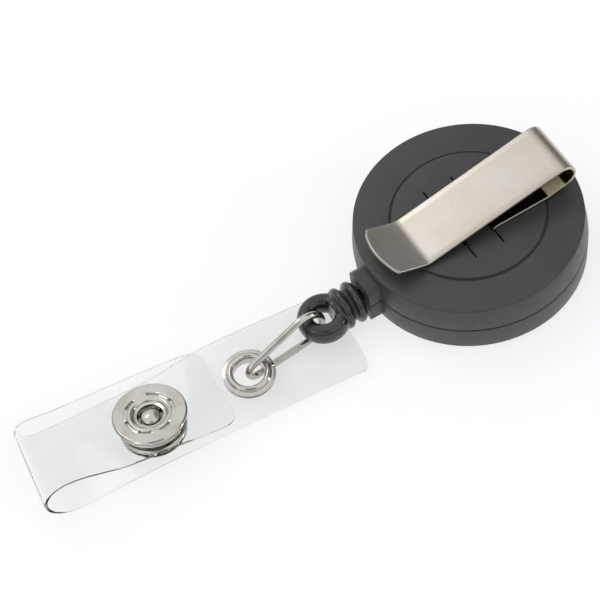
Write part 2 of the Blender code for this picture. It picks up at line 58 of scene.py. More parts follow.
# ------------------------------------------------------------------ camera first
AZ, EL, ROLL = math.radians(-23.4956), math.radians(55.45), math.radians(-9.6)
back = Vector((math.sin(AZ) * math.cos(EL), -math.cos(AZ) * math.cos(EL), math.sin(EL)))
right = Vector((math.cos(AZ), math.sin(AZ), 0.0))
up = back.cross(right)
r2 = right * math.cos(ROLL) + up * math.sin(ROLL)
u2 = up * math.cos(ROLL) - right * math.sin(ROLL)
target = Vector((-25.7523, 1.4384, 8.1)) * MM
camera_data = bpy.data.cameras.new("camera")
camera = bpy.data.objects.new("camera", camera_data)
bpy.context.scene.collection.objects.link(camera)
where = target + back * 0.400
camera.matrix_world = Matrix(((r2.x, u2.x, back.x, where.x), (r2.y, u2.y, back.y, where.y),
                              (r2.z, u2.z, back.z, where.z), (0, 0, 0, 1)))
camera_data.sensor_width = 36.0
camera_data.lens = 181.0
camera_data.clip_start, camera_data.clip_end = 0.01, 20.0
bpy.context.scene.camera = camera
bpy.context.scene.view_settings.view_transform = "Standard"


# ------------------------------------------------------------------ mesh helpers
def lathe(profile, segments, matrix=None):
    """Vertices and faces of a closed (r, z) outline turned about the local Z."""
    verts, rings, faces = [], [], []
    for r, z in profile:
        if r < 1e-9:
            rings.append([len(verts)])
            verts.append(Vector((0, 0, z)))
        else:
            rings.append(list(range(len(verts), len(verts) + segments)))
            for k in range(segments):
                a = 2 * math.pi * k / segments
                verts.append(Vector((r * math.cos(a), r * math.sin(a), z)))
    n = len(rings)
    for i in range(n):
        a, b = rings[i], rings[(i + 1) % n]
        if len(a) == 1 and len(b) == 1:
            continue
        for k in range(segments):
            j = (k + 1) % segments
            if len(a) == 1:
                faces.append((a[0], b[k], b[j]))
            elif len(b) == 1:
                faces.append((a[k], a[j], b[0]))
            else:
                faces.append((a[k], a[j], b[j], b[k]))
    if matrix is not None:
        verts = [matrix @ v for v in verts]
    return verts, faces


def fillet(points, steps=4, closed=True):
    """Rounds an outline.  Each point is (u, v) or (u, v, radius)."""
    out, n = [], len(points)
    for i, p in enumerate(points):
        radius = p[2] if len(p) > 2 else 0.0
        here = Vector(p[:2])
        if radius <= 0 or (not closed and i in (0, n - 1)):
            out.append((here.x, here.y))
            continue
        a, b = Vector(points[i - 1][:2]) - here, Vector(points[(i + 1) % n][:2]) - here
        la, lb = a.length, b.length
        a.normalize(), b.normalize()
        turn = math.pi - a.angle(b)
        if turn < 0.02:
            out.append((here.x, here.y))
            continue
        d = min(radius * math.tan(turn / 2), 0.49 * la, 0.49 * lb)
        rad = d / math.tan(turn / 2)
        mid = (a + b).normalized()
        centre = here + mid * math.hypot(d, rad)
        p0 = here + a * d - centre
        p1 = here + b * d - centre
        ang0, ang1 = math.atan2(p0.y, p0.x), math.atan2(p1.y, p1.x)
        delta = (ang1 - ang0 + math.pi) % (2 * math.pi) - math.pi
        for k in range(steps + 1):
            t = ang0 + delta * k / steps
            out.append((centre.x + rad * math.cos(t), centre.y + rad * math.sin(t)))
    return out


def prism(outline, low, high, matrix=None):
    n = len(outline)
    verts = [Vector((x, y, low)) for x, y in outline] + [Vector((x, y, high)) for x, y in outline]
    faces = [tuple(range(n))[::-1], tuple(range(n, 2 * n))]
    faces += [(i, (i + 1) % n, n + (i + 1) % n, n + i) for i in range(n)]
    if matrix is not None:
        verts = [matrix @ v for v in verts]
    return verts, faces


def piece(name, geometry, material=None, sharp=34.0, flip=True):
    """An object from millimetre vertices and faces, with smooth shading."""
    verts, faces = geometry
    mesh = bpy.data.meshes.new(name)
    mesh.from_pydata([tuple(v * MM) for v in verts], [], faces)
    if flip:
        bm = bmesh.new()
        bm.from_mesh(mesh)
        bmesh.ops.recalc_face_normals(bm, faces=bm.faces)
        bm.to_mesh(mesh)
        bm.free()
    mesh.validate()
    mesh.shade_smooth()
    mesh.set_sharp_from_angle(angle=math.radians(sharp))
    o = bpy.data.objects.new(name, mesh)
    bpy.context.scene.collection.objects.link(o)
    if material is not None:
        mesh.materials.append(material)
    return o


def settle(o, sharp=34.0):
    """Turns an object's modifiers into plain mesh."""
    bpy.context.view_layer.update()
    mesh = bpy.data.meshes.new_from_object(o.evaluated_get(bpy.context.evaluated_depsgraph_get()))
    o.modifiers.clear()
    old = o.data
    o.data = mesh
    bpy.data.meshes.remove(old)
    mesh.name = o.name
    mesh.shade_smooth()
    mesh.set_sharp_from_angle(angle=math.radians(sharp))
    return o


def cut(o, geometry, operation="DIFFERENCE"):
    tool = piece("tool", geometry)
    m = o.modifiers.new("cut", "BOOLEAN")
    m.operation, m.solver, m.object = operation, "EXACT", tool
    settle(o)
    bpy.data.objects.remove(tool, do_unlink=True)
    return o


def smooth(t):
    t = min(max(t, 0.0), 1.0)
    return t * t * (3 - 2 * t)


def spline(table, x):
    """Smooth curve through a table of (x, value) points, monotone in x (cubic Hermite)."""
    n = len(table)
    if x <= table[0][0]:
        return table[0][1]
    if x >= table[-1][0]:
        return table[-1][1]
    i = max(k for k in range(n - 1) if table[k][0] <= x)
    x0, y0 = table[i]
    x1, y1 = table[i + 1]
    h = x1 - x0

    def slope(k):
        if k == 0:
            return (table[1][1] - table[0][1]) / (table[1][0] - table[0][0])
        if k == n - 1:
            return (table[-1][1] - table[-2][1]) / (table[-1][0] - table[-2][0])
        return (table[k + 1][1] - table[k - 1][1]) / (table[k + 1][0] - table[k - 1][0])

    t = (x - x0) / h
    m0, m1 = slope(i) * h, slope(i + 1) * h
    return ((2 * t ** 3 - 3 * t * t + 1) * y0 + (t ** 3 - 2 * t * t + t) * m0
            + (-2 * t ** 3 + 3 * t * t) * y1 + (t ** 3 - t * t) * m1)


# ------------------------------------------------------------------ materials
class Nodes:
    """A small helper that builds a procedural material on a Principled shader."""

    def __init__(self, name, color, rough, metal=0.0):
        self.m = bpy.data.materials.new(name)
        self.m.use_nodes = True
        self.t = self.m.node_tree
        self.b = self.t.nodes["Principled BSDF"]
        self.b.inputs["Base Color"].default_value = (*color, 1.0)
        self.b.inputs["Roughness"].default_value = rough
        self.b.inputs["Metallic"].default_value = metal
        self.coord = self.t.nodes.new("ShaderNodeTexCoord").outputs["Object"]
        self.normal = None

    def mapped(self, scale=(1, 1, 1), rotation=(0, 0, 0)):
        n = self.t.nodes.new("ShaderNodeMapping")
        n.inputs["Scale"].default_value = scale
        n.inputs["Rotation"].default_value = rotation
        self.t.links.new(self.coord, n.inputs["Vector"])
        return n.outputs["Vector"]

    def noise(self, scale, detail=4.0, rough=0.55, vector=None, distortion=0.0):
        n = self.t.nodes.new("ShaderNodeTexNoise")
        n.inputs["Scale"].default_value = scale
        n.inputs["Detail"].default_value = detail
        n.inputs["Roughness"].default_value = rough
        n.inputs["Distortion"].default_value = distortion
        self.t.links.new(vector or self.coord, n.inputs["Vector"])
        return n.outputs["Fac"]

    def voronoi(self, scale, feature="F1", vector=None):
        n = self.t.nodes.new("ShaderNodeTexVoronoi")
        n.feature = feature
        n.inputs["Scale"].default_value = scale
        self.t.links.new(vector or self.coord, n.inputs["Vector"])
        return n.outputs["Distance"]

    def ramp(self, value, lo, hi, out_lo, out_hi):
        n = self.t.nodes.new("ShaderNodeMapRange")
        n.interpolation_type = "SMOOTHSTEP"
        for k, v in (("From Min", lo), ("From Max", hi), ("To Min", out_lo), ("To Max", out_hi)):
            n.inputs[k].default_value = v
        self.t.links.new(value, n.inputs["Value"])
        return n.outputs["Result"]

    def math(self, op, a, b):
        n = self.t.nodes.new("ShaderNodeMath")
        n.operation = op
        for i, v in enumerate((a, b)):
            if isinstance(v, (int, float)):
                n.inputs[i].default_value = v
            else:
                self.t.links.new(v, n.inputs[i])
        return n.outputs[0]

    def mix(self, factor, a, b):
        n = self.t.nodes.new("ShaderNodeMix")
        n.data_type = "RGBA"
        self.t.links.new(factor, n.inputs["Factor"])
        for k, v in ((6, a), (7, b)):
            if isinstance(v, tuple):
                n.inputs[k].default_value = (*v, 1.0)
            else:
                self.t.links.new(v, n.inputs[k])
        return n.outputs[2]

    def bump(self, height, strength, distance):
        n = self.t.nodes.new("ShaderNodeBump")
        n.inputs["Strength"].default_value = strength
        n.inputs["Distance"].default_value = distance
        self.t.links.new(height, n.inputs["Height"])
        if self.normal is not None:
            self.t.links.new(self.normal, n.inputs["Normal"])
        self.normal = n.outputs["Normal"]
        self.t.links.new(self.normal, self.b.inputs["Normal"])

    def axis(self, name):
        """One of the object's own coordinates."""
        n = self.t.nodes.new("ShaderNodeSeparateXYZ")
        self.t.links.new(self.coord, n.inputs[0])
        return n.outputs[name]

    def inside(self, name, low, high, edge=0.00008):
        """1 where a coordinate lies between two values."""
        v = self.axis(name)
        return self.math("MULTIPLY", self.ramp(v, low - edge, low + edge, 0.0, 1.0),
                         self.ramp(v, high - edge, high + edge, 1.0, 0.0))

    def color(self, output):
        self.t.links.new(output, self.b.inputs["Base Color"])

    def rough(self, output):
        self.t.links.new(output, self.b.inputs["Roughness"])


def case_plastic():
    n = Nodes("case_charcoal", (0.036, 0.036, 0.038), 0.42)
    cloud = n.noise(160.0, 3.0)
    grain = n.noise(5200.0, 2.0, 0.6)
    tone = n.mix(n.ramp(cloud, 0.3, 0.7, 0.0, 1.0), (0.038, 0.0385, 0.039), (0.046, 0.046, 0.0465))
    # a little dust sits on the moulded surface
    speck = n.ramp(n.voronoi(420.0), 0.022, 0.05, 1.0, 0.0)
    chance = n.ramp(n.noise(330.0, 1.0), 0.55, 0.62, 0.0, 1.0)
    n.color(n.mix(n.math("MULTIPLY", speck, chance), tone, (0.16, 0.16, 0.155)))
    n.rough(n.ramp(n.noise(700.0, 4.0), 0.25, 0.75, 0.36, 0.46))
    n.bump(grain, 0.35, 0.000012)
    n.bump(n.noise(90.0, 2.0), 0.12, 0.00012)
    return n.m


def gloss_black():
    n = Nodes("fitting_black", (0.010, 0.010, 0.010), 0.16)
    n.color(n.mix(n.ramp(n.noise(300.0, 3.0), 0.35, 0.7, 0.0, 1.0), (0.014, 0.014, 0.0135), (0.022, 0.022, 0.021)))
    n.rough(n.ramp(n.noise(900.0, 3.0), 0.3, 0.7, 0.13, 0.22))
    n.b.inputs["Coat Weight"].default_value = 0.35
    n.b.inputs["Coat Roughness"].default_value = 0.08
    n.bump(n.noise(450.0, 2.0), 0.10, 0.00010)
    return n.m


def satin_nickel():
    n = Nodes("clip_satin_nickel", (0.54, 0.50, 0.45), 0.3, 1.0)
    # fine lines run along the rolled strip
    lines = n.noise(1.0, 4.0, 0.6, n.mapped((260.0, 9000.0, 9000.0)))
    patch = n.noise(110.0, 3.0)
    plate = n.mix(n.ramp(patch, 0.3, 0.7, 0.0, 1.0), (0.500, 0.458, 0.398), (0.535, 0.507, 0.473))
    # painted shade and a painted reflection on the strip's inner face: painted dark where it lies on the case in the
    # leaf's shade, and a painted tan reflection, less metallic, where it rises into the fold
    between = n.inside("Y", -0.00416, 0.00416)
    low = n.math("MULTIPLY", between, n.inside("Z", 0.0, 0.01105))
    tan_reflection_zone = n.math("MULTIPLY", between, n.math("MULTIPLY", n.inside("X", 0.01015, 0.01290), n.inside("Z", 0.0, 0.0100)))
    under = n.math("MULTIPLY", low, n.inside("X", -0.0040, 0.0160))
    facing_up = n.t.nodes.new("ShaderNodeNewGeometry").outputs["Normal"]
    split = n.t.nodes.new("ShaderNodeSeparateXYZ")
    n.t.links.new(facing_up, split.inputs[0])
    inward = n.ramp(n.math("ADD", split.outputs["Z"], n.math("MULTIPLY", split.outputs["X"], -0.9)), 0.2, 0.5, 0.0, 1.0)
    leafless = n.ramp(n.math("ADD", n.axis("Z"), n.math("MULTIPLY", n.axis("X"), -0.121)), 0.00955, 0.00970, 1.0, 0.0)
    # painted shade on the inner face under the leaf
    painted_shade = n.math("MULTIPLY", n.math("MULTIPLY", under, inward), leafless)
    plate_with_painted_shade = n.mix(painted_shade, plate, (0.030, 0.032, 0.026))
    # painted tan reflection in the fold, where the strip rises from the case
    painted_tan_reflection = n.math("MULTIPLY", tan_reflection_zone, n.math("MULTIPLY", inward, leafless))
    n.color(n.mix(painted_tan_reflection, plate_with_painted_shade, (0.66, 0.58, 0.36)))
    n.t.links.new(n.ramp(painted_tan_reflection, 0.0, 1.0, 1.0, 0.25), n.b.inputs["Metallic"])
    n.rough(n.ramp(n.math("ADD", n.math("MULTIPLY", lines, 0.6), n.math("MULTIPLY", n.noise(500.0, 3.0), 0.4)),
                   0.3, 0.7, 0.25, 0.35))
    n.bump(lines, 0.11, 0.000010)
    n.bump(n.noise(75.0, 1.0), 0.06, 0.00025)
    return n.m


def bright_nickel():
    n = Nodes("polished_nickel", (0.70, 0.68, 0.64), 0.12, 1.0)
    n.color(n.mix(n.ramp(n.noise(220.0, 3.0), 0.35, 0.65, 0.0, 1.0), (0.49, 0.465, 0.41), (0.58, 0.565, 0.53)))
    n.rough(n.ramp(n.noise(1400.0, 4.0), 0.3, 0.75, 0.07, 0.17))
    n.bump(n.noise(520.0, 2.0), 0.12, 0.00006)
    return n.m


def clear_vinyl():
    n = Nodes("clear_vinyl", (0.955, 0.965, 0.962), 0.05)
    n.b.inputs["Transmission Weight"].default_value = 1.0
    n.b.inputs["IOR"].default_value = 1.20
    cloudy = n.mix(n.ramp(n.noise(140.0, 3.0), 0.3, 0.7, 0.0, 1.0), (0.935, 0.942, 0.940), (0.962, 0.968, 0.966))
    # painted shadow: the tail is painted darker towards the cord-end fitting, whose shadow falls on it
    tail = n.mix(n.ramp(n.noise(160.0, 3.0), 0.3, 0.7, 0.0, 1.0), (0.840, 0.855, 0.852), (0.875, 0.886, 0.883))
    n.color(n.mix(n.ramp(n.axis("X"), -0.047, -0.031, 0.0, 1.0), cloudy, tail))
    n.rough(n.ramp(n.noise(380.0, 3.0), 0.35, 0.75, 0.04, 0.11))
    n.bump(n.noise(130.0, 2.0), 0.14, 0.00020)
    return n.m


def spool_plastic():
    n = Nodes("spool_natural", (0.62, 0.62, 0.6), 0.45)
    n.color(n.mix(n.ramp(n.noise(200.0, 3.0), 0.3, 0.7, 0.0, 1.0), (0.56, 0.56, 0.53), (0.66, 0.66, 0.63)))
    n.rough(n.ramp(n.noise(800.0, 3.0), 0.3, 0.7, 0.38, 0.52))
    n.bump(n.noise(4000.0, 2.0), 0.2, 0.00001)
    return n.m


def spring_steel():
    n = Nodes("spring_blue_steel", (0.38, 0.4, 0.43), 0.34, 1.0)
    n.color(n.mix(n.ramp(n.noise(260.0, 3.0), 0.3, 0.7, 0.0, 1.0), (0.34, 0.37, 0.42), (0.46, 0.46, 0.46)))
    n.rough(n.ramp(n.noise(1200.0, 4.0), 0.3, 0.7, 0.26, 0.44))
    return n.m


def braided_cord():
    n = Nodes("cord_braid", (0.02, 0.02, 0.022), 0.8)
    a = n.t.nodes.new("ShaderNodeTexWave")
    a.inputs["Scale"].default_value = 700.0
    n.t.links.new(n.mapped((1, 1, 1), (0, 0, 0.8)), a.inputs["Vector"])
    b = n.t.nodes.new("ShaderNodeTexWave")
    b.inputs["Scale"].default_value = 700.0
    n.t.links.new(n.mapped((1, 1, 1), (0.5, 0.4, -0.8)), b.inputs["Vector"])
    weave = n.math("MAXIMUM", a.outputs["Fac"], b.outputs["Fac"])
    n.color(n.mix(weave, (0.010, 0.010, 0.011), (0.034, 0.034, 0.037)))
    n.b.inputs["Sheen Weight"].default_value = 0.4
    n.bump(weave, 0.6, 0.00004)
    return n.m


CASE, BLACK, CLIP, BRIGHT = case_plastic(), gloss_black(), satin_nickel(), bright_nickel()
VINYL, SPOOL, STEEL, CORD = clear_vinyl(), spool_plastic(), spring_steel(), braided_cord()

for node, material in (("spool", SPOOL), ("spring_cover", SPOOL), ("power_spring", STEEL), ("cord_winding", CORD),
                       ("cord_run", CORD), ("cord_tip", CORD), ("cord_knot", CORD)):
    for s in nodes[node].material_slots:
        s.material = material

# ------------------------------------------------------------------ case shells
front_lo, front_hi = (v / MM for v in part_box("front_shell"))
rear_lo, rear_hi = (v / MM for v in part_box("rear_shell"))
CASE_R = front_hi.x                      # 16 mm, at the parting line
LOW, HIGH = 4.10, 4.30                   # the two lips at the parting line
RIM, PLATEAU = 8.15, rear_hi.z
NOZZLE_X = front_lo.x
CORD_Z = (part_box("cord_tip")[0].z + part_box("cord_tip")[1].z) / 2 / MM
ALONG_X = Matrix(((0, 0, 1, 0), (1, 0, 0, 0), (0, 1, 0, 0), (0, 0, 0, 1)))

front = piece("front_cover", lathe(fillet([
    (0, 0), (CASE_R - 0.22, 0, 0.42), (CASE_R, LOW, 0.12), (CASE_R - 1.2, LOW, 0.1), (CASE_R - 1.3, 1.2, 0.35),
    (2.6, 1.2, 0.1), (2.6, 1.35, 0.05), (1.5, 1.35, 0.1), (1.5, 6.1, 0.25), (0, 6.1)]), 176), CASE)
rear = piece("rear_cover", lathe(fillet([
    (0, 7.15), (9.7, 7.15, 0.1), (10.0, 6.95, 0.1), (CASE_R - 1.6, 6.95, 0.35), (CASE_R - 1.2, HIGH, 0.1),
    (CASE_R, HIGH, 0.12), (CASE_R - 0.38, RIM, 0.30), (10.74, RIM + 0.13, 0.10), (10.60, RIM - 0.06, 0.04),
    (10.50, RIM - 0.06, 0.04), (10.36, PLATEAU - 0.05, 0.12), (0, PLATEAU)]), 176), CASE)
half = 2.5
low_block = fillet([(-half, 0.9, 0.45), (half, 0.9, 0.45), (half, LOW, 0.08), (-half, LOW, 0.08)])
top_block = fillet([(-half, HIGH, 0.08), (half, HIGH, 0.08), (half, 6.35, 0.25), (half - 0.85, 7.1, 0.25),
                    (-half + 0.85, 7.1, 0.25), (-half, 6.35, 0.25)])
hole = fillet([(-0.8, CORD_Z - 0.8, 0.7), (0.8, CORD_Z - 0.8, 0.7), (0.8, 5.2, 0.7), (-0.8, 5.2, 0.7)], 6)
cut(front, prism(low_block, NOZZLE_X, -15.1, ALONG_X), "UNION")
cut(front, prism(hole, -19.0, -14.0, ALONG_X))
cut(front, prism([(-2.5, -0.3), (2.5, -0.3), (2.5, 0.3), (-2.5, 0.3)], 2.6, 7.0))
cut(rear, prism(top_block, NOZZLE_X, -15.1, ALONG_X), "UNION")
cut(rear, prism(hole, -19.0, -14.0, ALONG_X))
for x in (1.4, -3.0):
    # wide where the strip passes, and a fine line out to both ends
    wide, fine, y0, y1 = 0.27, 0.12, 4.38, 6.55
    cut(rear, prism([(x - fine, -y1), (x + fine, -y1), (x + fine, -y0), (x + wide, -y0), (x + wide, y0),
                     (x + fine, y0), (x + fine, y1), (x - fine, y1), (x - fine, y0), (x - wide, y0),
                     (x - wide, -y0), (x - fine, -y0)], 6.0, 9.5))
for o, node in ((front, "front_shell"), (rear, "rear_shell")):
    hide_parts(node)
    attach(o, "case")

# ------------------------------------------------------------------ belt clip
clip_lo, clip_hi = (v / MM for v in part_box("clip_leaf"))
T, W = 0.45, clip_hi.y - clip_lo.y
FOLD_X, FOLD_Z, FOLD_R = 12.67, 11.26, 1.75
RAMP_X, RAMP, LEAF = 10.2, 12.9, 10.7
KINK_X, TIP_X = -8.8, -14.7
UNDER = 6.95 + 0.2 - 0.14 - T / 2
FACE = PLATEAU + 0.12 + T / 2
kink_z = PLATEAU + 0.2 + T / 2

base_end = math.radians(-90 + RAMP)
line = fillet([(-3.02, 8.35), (-3.02, UNDER, 0.45), (1.38, UNDER, 0.45), (1.38, FACE, 0.5), (RAMP_X, FACE, 1.6),
               (FOLD_X + FOLD_R * math.cos(base_end), FOLD_Z + FOLD_R * math.sin(base_end))], 6, closed=False)
for k in range(1, 32):
    a = math.radians(-90 + RAMP + (180 + LEAF - RAMP) * k / 31)
    line.append((FOLD_X + FOLD_R * math.cos(a), FOLD_Z + FOLD_R * math.sin(a)))
last = line.pop()
leaf = [last, (KINK_X, kink_z, 2.2)]
for k in range(1, 9):
    t = k / 8
    leaf.append((KINK_X + (TIP_X - KINK_X) * t, kink_z + 2.35 * t ** 1.15))
line += fillet(leaf, 10, closed=False)


def resample(points, step):
    pts = [Vector(p) for p in points]
    dist = [0.0]
    for a, b in zip(pts, pts[1:]):
        dist.append(dist[-1] + (b - a).length)
    total = dist[-1]
    return pts, dist, total


clip_pts, clip_dist, clip_len = resample(line, 0.25)


def clip_at(s):
    """Point on the strip's middle line at distance s."""
    s = min(max(s, 0.0), clip_len)
    lo, hi = 0, len(clip_dist) - 1
    while hi - lo > 1:
        mid = (lo + hi) // 2
        if clip_dist[mid] <= s:
            lo = mid
        else:
            hi = mid
    a, b = clip_pts[lo], clip_pts[hi]
    f = (s - clip_dist[lo]) / max(clip_dist[hi] - clip_dist[lo], 1e-9)
    return a.lerp(b, f)


def clip_normal(s):
    d = clip_at(s + 0.12) - clip_at(s - 0.12)
    d.normalize()
    return Vector((-d.y, d.x))


hw, ht, rc = W / 2, T / 2, 0.13
section = []
for cx, cy, a0 in ((hw - rc, ht - rc, 0), (-hw + rc, ht - rc, 90), (-hw + rc, -ht + rc, 180), (hw - rc, -ht + rc, 270)):
    for k in range(4):
        a = math.radians(a0 + 30 * k)
        section.append((cx + rc * math.cos(a), cy + rc * math.sin(a)))
    if a0 in (0, 180):
        sgn = 1 if a0 == 0 else -1
        for k in range(1, 10):
            section.append((sgn * (hw - rc) * (1 - 2 * k / 10), sgn * ht))
BULGE = 1.15
rows = [0.0, 0.06, 0.14]
while rows[-1] < clip_len - BULGE - 0.4:
    rows.append(rows[-1] + 0.24)
rows += [clip_len - BULGE - 0.14, clip_len - BULGE - 0.05, clip_len - BULGE]
verts, faces, m = [], [], len(section)
for i, s in enumerate(rows):
    shrink = {0: rc, 1: rc * 0.3, len(rows) - 1: rc, len(rows) - 2: rc * 0.3}.get(i, 0.0)
    for w, t in section:
        q = 1 - (w / hw) ** 2
        at = s + BULGE * max(q, 0.0) * smooth((s - (clip_len - 6.0)) / 4.8)
        # the tip's corners are a little rounded
        corner = max(abs(w) / hw - 0.90, 0.0) / 0.10
        at -= 0.35 * corner ** 2 * smooth((s - (clip_len - 2.5)) / 1.35)
        p, nrm = clip_at(at), clip_normal(at)
        tt = t - math.copysign(min(shrink, abs(t)), t) * (1 if abs(t) > ht - rc else 0)
        verts.append(Vector((p.x + nrm.x * tt, w, p.y + nrm.y * tt)))
for i in range(len(rows) - 1):
    for k in range(m):
        j = (k + 1) % m
        faces.append((i * m + k, i * m + j, (i + 1) * m + j, (i + 1) * m + k))
faces += [tuple(range(m)), tuple(range((len(rows) - 1) * m, len(rows) * m))]
clip = piece("belt_clip", (verts, faces), CLIP, sharp=50)
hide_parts("clip_base", "clip_leaf")
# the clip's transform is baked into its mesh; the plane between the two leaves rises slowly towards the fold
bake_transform(clip)

# ------------------------------------------------------------------ cord-end fitting
EYE_X = -23.4
axis = Matrix(((0, 0, -1, -17.9), (0, 1, 0, 0), (1, 0, 0, CORD_Z), (0, 0, 0, 1)))
prof = [(0, 0), (2.0, 0.0), (2.4, 0.05), (2.65, 0.18)]
for c in (0.78, 2.66):
    for k in range(13):
        a = math.radians(18 + 144 * k / 12)
        prof.append((2.26 + (3.02 - 2.26) * math.sin(a) ** 0.8, c - 0.62 * math.cos(a)))
    prof.append((2.24, c + 0.94))
prof = [p for p in prof if p[1] < 3.7] + [(2.15, 3.8), (2.05, 4.2), (0, 4.2)]
fitting = piece("cord_end_fitting", lathe(prof, 72, axis), BLACK)
ring = []
mid, wall, rise = 2.50, 1.14, 1.56
for k in range(32):
    a = 2 * math.pi * k / 32
    ca, sa = math.cos(a), math.sin(a)
    ring.append((mid + wall * math.copysign(abs(ca) ** 0.9, ca), CORD_Z + rise * math.copysign(abs(sa) ** 0.9, sa)))
cut(fitting, lathe(ring, 96, Matrix.Translation((EYE_X, 0, 0))), "UNION")
cut(fitting, lathe([(0, 0), (1.34, 0), (1.34, 8), (0, 8)], 72, Matrix.Translation((EYE_X, 0, 0))))
cut(fitting, lathe([(0, -1), (0.65, -1), (0.65, 0.8), (1.4, 1.05), (1.4, 2.9), (0.9, 3.15), (0, 3.15)], 48, axis))
rem = fitting.modifiers.new("even", "REMESH")
rem.mode, rem.voxel_size = "VOXEL", 0.085 * MM
sm = fitting.modifiers.new("soften", "SMOOTH")
sm.factor, sm.iterations = 0.5, 6
settle(fitting, 80)
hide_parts("cord_end_eye")
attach(fitting, "fitting")

# the cord that shows between the case and the fitting
cord_r = 0.4
cord_rows = [-17.2 - 0.08 * k for k in range(17)]
verts, faces = [], []
for x in cord_rows:
    for k in range(16):
        a = 2 * math.pi * k / 16
        verts.append(Vector((x, cord_r * math.cos(a), CORD_Z + cord_r * math.sin(a))))
for i in range(len(cord_rows) - 1):
    for k in range(16):
        j = (k + 1) % 16
        faces.append((i * 16 + k, i * 16 + j, (i + 1) * 16 + j, (i + 1) * 16 + k))
faces += [tuple(range(16)), tuple(range(len(verts) - 16, len(verts)))]
paid_out = piece("cord_paid_out", (verts, faces), CORD)
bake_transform(paid_out)

# ------------------------------------------------------------------ strap frame
YAW = math.radians(5.0)
EX, EY, EZ = -35.86, -0.95, 1.9
STRAP = Matrix(((-math.cos(YAW), -math.sin(YAW), 0, EX), (math.sin(YAW), -math.cos(YAW), 0, EY), (0, 0, 1, 0),
                (0, 0, 0, 1)))
SNAP_U, SNAP_W = 14.6, 0.8

# ------------------------------------------------------------------ steel link
a, b = Vector((EYE_X, 0.0)), Vector((EX, EY))
d = (b - a).normalized()
c_ring, r_ring, c_end, r_end = Vector((3.15, 3.42)), 2.85, Vector((11.1, 2.04)), 1.42
lean = math.asin((c_ring.y + r_ring - (c_end.y + r_end)) / (c_end.x - c_ring.x) * 0.98)
loop = []
for k in range(41):
    t = math.radians(90) - lean + (math.radians(180) + lean) * k / 40
    loop.append((c_ring.x + r_ring * math.cos(t), c_ring.y + r_ring * math.sin(t)))
for k in range(1, 16):
    p, q = Vector((c_ring.x, c_ring.y - r_ring)), Vector((c_end.x, c_end.y - r_end))
    loop.append(tuple(p.lerp(q, k / 16)))
for k in range(29):
    t = math.radians(-90) + (math.radians(180) - lean) * k / 28
    loop.append((c_end.x + r_end * math.cos(t), c_end.y + r_end * math.sin(t)))
for k in range(1, 16):
    p = Vector((c_end.x + r_end * math.sin(lean), c_end.y + r_end * math.cos(lean)))
    q = Vector((c_ring.x + r_ring * math.sin(lean), c_ring.y + r_ring * math.cos(lean)))
    loop.append(tuple(p.lerp(q, k / 16)))
# ease the changes of curvature
for _ in range(6):
    loop = [((loop[i - 1][0] + 2 * loop[i][0] + loop[(i + 1) % len(loop)][0]) / 4,
             (loop[i - 1][1] + 2 * loop[i][1] + loop[(i + 1) % len(loop)][1]) / 4) for i in range(len(loop))]
side = Vector((-d.y, d.x, 0.0))
verts, faces, n = [], [], len(loop)
for i, (u, z) in enumerate(loop):
    du, dz = loop[(i + 1) % n][0] - loop[i - 1][0], loop[(i + 1) % n][1] - loop[i - 1][1]
    length = math.hypot(du, dz)
    out = Vector((d.x * dz / length, d.y * dz / length, -du / length))
    p = Vector((a.x + d.x * u, a.y + d.y * u, z))
    for k in range(20):
        t = 2 * math.pi * k / 20
        verts.append(p + 0.5 * (math.cos(t) * side + math.sin(t) * out))
for i in range(n):
    for k in range(20):
        j, i2 = (k + 1) % 20, (i + 1) % n
        faces.append((i * 20 + k, i * 20 + j, i2 * 20 + j, i2 * 20 + k))
link = piece("steel_link", (verts, faces), BRIGHT, sharp=80)
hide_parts("wire_link")
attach(link, "link")

# ------------------------------------------------------------------ clear strap
# Middle line of the strip at its near and far edges, as (u, z) from the tail round the fold
# to the short end.  The strip is a little twisted, so the two edges differ.
NEAR = [(-14.9, 1.10), (-12, 1.20), (-8, 1.30), (-4, 1.32), (0, 1.35), (4, 1.40), (7.5, 1.42), (10.5, 1.42),
        (14.45, 1.37), (18.5, 1.20), (22.5, 0.95), (26, 0.62), (28.4, 0.66), (30.3, 1.25), (31.7, 2.5), (32.25, 4.0),
        (32.0, 5.4), (30.9, 6.65), (29.0, 7.15), (26.6, 6.85), (24, 6.0), (21, 5.0), (18, 4.5), (14.45, 4.2),
        (11, 3.85), (8, 3.5), (4.35, 3.05)]
FAR = [(-14.9, 1.75), (-12, 1.95), (-8, 2.15), (-4, 2.35), (0, 2.45), (4, 2.3), (7.5, 1.55), (10.5, 0.8),
       (14.45, 0.43), (18.5, 0.35), (22.5, 0.28), (26, 0.26), (28.2, 0.3), (29.9, 0.62), (30.95, 1.5), (31.3, 2.6),
       (31.1, 3.6), (30.3, 4.15), (29, 4.3), (26.6, 3.95), (24, 3.75), (21, 3.6), (18, 3.5), (14.45, 3.3),
       (11, 3.05), (8, 2.75), (4.35, 2.4)]
HALF_W, THICK = 6.7, 0.44


def dense(table, per):
    """Catmull-Rom through the table, per points to each span."""
    pts = [Vector(p) for p in table]
    out = []
    for i in range(len(pts) - 1):
        p0, p1, p2, p3 = pts[max(i - 1, 0)], pts[i], pts[i + 1], pts[min(i + 2, len(pts) - 1)]
        for k in range(per):
            t = k / per
            out.append(0.5 * ((2 * p1) + (p2 - p0) * t + (2 * p0 - 5 * p1 + 4 * p2 - p3) * t * t
                              + (3 * p1 - p0 - 3 * p2 + p3) * t ** 3))
    out.append(pts[-1])
    return out


PER = 6
near, far = dense(NEAR, PER), dense(FAR, PER)
count = len(near)


def strap_mid(i, w):
    """Point on the strip's middle surface, for a row position i (may be a fraction) and w from -1 (far) to 1."""
    i = min(max(i, 0.0), count - 1.0)
    k = min(int(i), count - 2)
    f = i - k
    t = (w + 1) / 2
    p = (far[k].lerp(far[k + 1], f)).lerp(near[k].lerp(near[k + 1], f), t)
    return p


